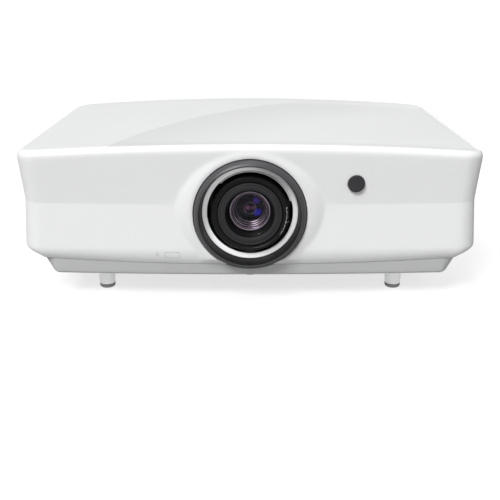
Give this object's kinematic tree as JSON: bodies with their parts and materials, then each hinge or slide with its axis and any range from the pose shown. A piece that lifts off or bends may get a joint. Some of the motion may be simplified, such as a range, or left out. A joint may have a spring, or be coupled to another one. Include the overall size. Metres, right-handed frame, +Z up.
{
  "type": "home projector",
  "caption": "Wide, low home projector with a central zoom lens, height-adjustable feet, rear ports and keypad, and a full light engine inside.",
  "frame": {"origin": "centre of the footprint on the table, under the feet", "axes": "+X to the viewer's right seen from the front, +Y from the lens to the rear, +Z up"},
  "size_m": [0.501, 0.339, 0.177],
  "materials": {
    "white_shell": "smooth white moulded plastic, semi-gloss",
    "grey_tub": "light grey moulded plastic, fine texture",
    "rear_plate": "dark grey textured plastic",
    "grille_white": "white moulded plastic",
    "trim_dark": "satin dark grey",
    "bright_ring": "polished",
    "smoked_window": "smoked, glossy",
    "sheet_steel": "zinc plated sheet",
    "circuit_green": "solder mask with black chips",
    "supply_board": "tan laminate with parts",
    "black_plastic": "black moulded plastic",
    "port_metal": "plated connector shells",
    "cast_grey": "die cast, bead blasted",
    "bare_aluminium": "extruded, natural",
    "copper": "copper, lightly tarnished",
    "polished_steel": "ground and polished",
    "dark_aluminium": "anodised dark",
    "clear_glass": "polished optical glass",
    "led_green": "tinted light pipe",
    "brass_insert": "turned",
    "lens_black": "satin black",
    "cell_grey": "matt dark grey",
    "coated_glass": "purple anti-reflection coating",
    "foot_grey": "light grey moulded plastic",
    "rubber_pad": "dark grey rubber",
    "phosphor": "yellow phosphor track on polished disc",
    "dichroic_glass": "coated colour filter",
    "key_black": "soft black key"
  },
  "bodies": {
    "case": {"top_cover": "white_shell", "base_tub": "grey_tub", "rear_panel": "rear_plate", "left_grille": "grille_white", "right_grille": "grille_white", "lens_trim_ring": "trim_dark", "chrome_ring": "bright_ring", "ir_window": "smoked_window", "chassis_tray": "sheet_steel", "main_board": "circuit_green", "psu_board": "supply_board", "power_inlet": "black_plastic", "signal_ports": "port_metal", "laser_bank": "cast_grey", "laser_heatsink": "bare_aluminium", "heat_pipes": "copper", "wheel_housing": "cast_grey", "wheel_motors": "polished_steel", "light_tunnel": "dark_aluminium", "relay_lenses": "clear_glass", "engine_housing": "cast_grey", "prism": "clear_glass", "dmd_board": "circuit_green", "dmd_heatsink": "bare_aluminium", "lens_mount": "cast_grey", "guide_pins": "polished_steel", "fan_frames": "black_plastic", "speakers": "black_plastic", "keypad_board": "circuit_green", "status_leds": "led_green", "cover_screws": "polished_steel", "mount_inserts": "brass_insert"},
    "lens_carriage": {"lens_carriage": "cast_grey", "lens_barrel": "lens_black", "rear_lens_group": "lens_black"},
    "focus_ring": {"focus_ring": "lens_black"},
    "front_cell": {"front_cell": "cell_grey", "front_lens": "coated_glass"},
    "zoom_ring": {"zoom_ring": "lens_black"},
    "zoom_group": {"zoom_group": "lens_black"},
    "shift_wheel": {"shift_wheel": "black_plastic"},
    "intake_rotor": {"intake_rotor": "black_plastic"},
    "exhaust_rotor": {"exhaust_rotor": "black_plastic"},
    "phosphor_wheel": {"phosphor_wheel": "phosphor"},
    "colour_wheel": {"colour_wheel": "dichroic_glass"},
    "foot_pad_fl": {"foot_pad_fl": "rubber_pad"},
    "foot_screw_fl": {"foot_screw_fl": "foot_grey"},
    "foot_pad_fr": {"foot_pad_fr": "rubber_pad"},
    "foot_screw_fr": {"foot_screw_fr": "foot_grey"},
    "foot_pad_rl": {"foot_pad_rl": "rubber_pad"},
    "foot_screw_rl": {"foot_screw_rl": "foot_grey"},
    "foot_pad_rr": {"foot_pad_rr": "rubber_pad"},
    "foot_screw_rr": {"foot_screw_rr": "foot_grey"},
    "enter_button": {"enter_button": "key_black"},
    "up_button": {"up_button": "key_black"},
    "down_button": {"down_button": "key_black"},
    "left_button": {"left_button": "key_black"},
    "right_button": {"right_button": "key_black"},
    "menu_button": {"menu_button": "key_black"},
    "power_button": {"power_button": "key_black"}
  },
  "joints": [
    {"name": "lens_shift", "type": "slide", "parent": "case", "child": "lens_carriage", "axis": [0, 0, 1], "range_m": [-0.002, 0.002]},
    {"name": "shift_wheel_turn", "type": "hinge", "parent": "case", "child": "shift_wheel", "pos_m": [0, -0.1345, 0.03], "axis": [0, 0, 1], "range_deg": [-90, 90]},
    {"name": "focus_turn", "type": "hinge", "parent": "lens_carriage", "child": "focus_ring", "pos_m": [0, -0.1315, 0.101], "axis": [0, 1, 0], "range_deg": [-60, 60]},
    {"name": "focus_slide", "type": "slide", "parent": "lens_carriage", "child": "front_cell", "axis": [0, 1, 0], "range_m": [-0.0015, 0.0015]},
    {"name": "zoom_turn", "type": "hinge", "parent": "lens_carriage", "child": "zoom_ring", "pos_m": [0, -0.1315, 0.101], "axis": [0, 1, 0], "range_deg": [-25, 25]},
    {"name": "zoom_slide", "type": "slide", "parent": "lens_carriage", "child": "zoom_group", "axis": [0, 1, 0], "range_m": [-0.006, 0.006]},
    {"name": "foot_height_fl", "type": "slide", "parent": "case", "child": "foot_pad_fl", "axis": [0, 0, -1], "range_m": [-0.012, 0.006]},
    {"name": "foot_turn_fl", "type": "hinge", "parent": "foot_pad_fl", "child": "foot_screw_fl", "pos_m": [-0.1667, -0.1135, 0.02], "axis": [0, 0, 1], "range_deg": [-721, 361]},
    {"name": "foot_height_fr", "type": "slide", "parent": "case", "child": "foot_pad_fr", "axis": [0, 0, -1], "range_m": [-0.012, 0.006]},
    {"name": "foot_turn_fr", "type": "hinge", "parent": "foot_pad_fr", "child": "foot_screw_fr", "pos_m": [0.1667, -0.1135, 0.02], "axis": [0, 0, 1], "range_deg": [-721, 361]},
    {"name": "foot_height_rl", "type": "slide", "parent": "case", "child": "foot_pad_rl", "axis": [0, 0, -1], "range_m": [-0.012, 0.006]},
    {"name": "foot_turn_rl", "type": "hinge", "parent": "foot_pad_rl", "child": "foot_screw_rl", "pos_m": [-0.1667, 0.1215, 0.02], "axis": [0, 0, 1], "range_deg": [-721, 361]},
    {"name": "foot_height_rr", "type": "slide", "parent": "case", "child": "foot_pad_rr", "axis": [0, 0, -1], "range_m": [-0.012, 0.006]},
    {"name": "foot_turn_rr", "type": "hinge", "parent": "foot_pad_rr", "child": "foot_screw_rr", "pos_m": [0.1667, 0.1215, 0.02], "axis": [0, 0, 1], "range_deg": [-721, 361]},
    {"name": "intake_fan_spin", "type": "hinge", "parent": "case", "child": "intake_rotor", "pos_m": [-0.2015, -0.0115, 0.101], "axis": [1, 0, 0], "continuous": true},
    {"name": "exhaust_fan_spin", "type": "hinge", "parent": "case", "child": "exhaust_rotor", "pos_m": [0.2015, 0.07775, 0.101], "axis": [1, 0, 0], "continuous": true},
    {"name": "phosphor_wheel_spin", "type": "hinge", "parent": "case", "child": "phosphor_wheel", "pos_m": [0.1325, -0.0435, 0.121], "axis": [1, 0, 0], "continuous": true},
    {"name": "colour_wheel_spin", "type": "hinge", "parent": "case", "child": "colour_wheel", "pos_m": [0.1095, -0.0435, 0.121], "axis": [1, 0, 0], "continuous": true},
    {"name": "enter_press", "type": "slide", "parent": "case", "child": "enter_button", "axis": [0, -1, 0], "range_m": [0, 0.0008], "stiffness_N_per_m": 600},
    {"name": "up_press", "type": "slide", "parent": "case", "child": "up_button", "axis": [0, -1, 0], "range_m": [0, 0.0008], "stiffness_N_per_m": 600},
    {"name": "down_press", "type": "slide", "parent": "case", "child": "down_button", "axis": [0, -1, 0], "range_m": [0, 0.0008], "stiffness_N_per_m": 600},
    {"name": "left_press", "type": "slide", "parent": "case", "child": "left_button", "axis": [0, -1, 0], "range_m": [0, 0.0008], "stiffness_N_per_m": 600},
    {"name": "right_press", "type": "slide", "parent": "case", "child": "right_button", "axis": [0, -1, 0], "range_m": [0, 0.0008], "stiffness_N_per_m": 600},
    {"name": "menu_press", "type": "slide", "parent": "case", "child": "menu_button", "axis": [0, -1, 0], "range_m": [0, 0.0008], "stiffness_N_per_m": 600},
    {"name": "power_press", "type": "slide", "parent": "case", "child": "power_button", "axis": [0, -1, 0], "range_m": [0, 0.0008], "stiffness_N_per_m": 600}
  ],
  "couplings": [
    {"joint": "shift_wheel_turn", "follows": "lens_shift", "rad_per_m": 785},
    {"joint": "focus_slide", "follows": "focus_turn", "m_per_rad": 0.00143},
    {"joint": "zoom_slide", "follows": "zoom_turn", "m_per_rad": 0.0137},
    {"joint": "foot_turn_fl", "follows": "foot_height_fl", "rad_per_m": 1047},
    {"joint": "foot_turn_fr", "follows": "foot_height_fr", "rad_per_m": 1047},
    {"joint": "foot_turn_rl", "follows": "foot_height_rl", "rad_per_m": 1047},
    {"joint": "foot_turn_rr", "follows": "foot_height_rr", "rad_per_m": 1047}
  ]
}
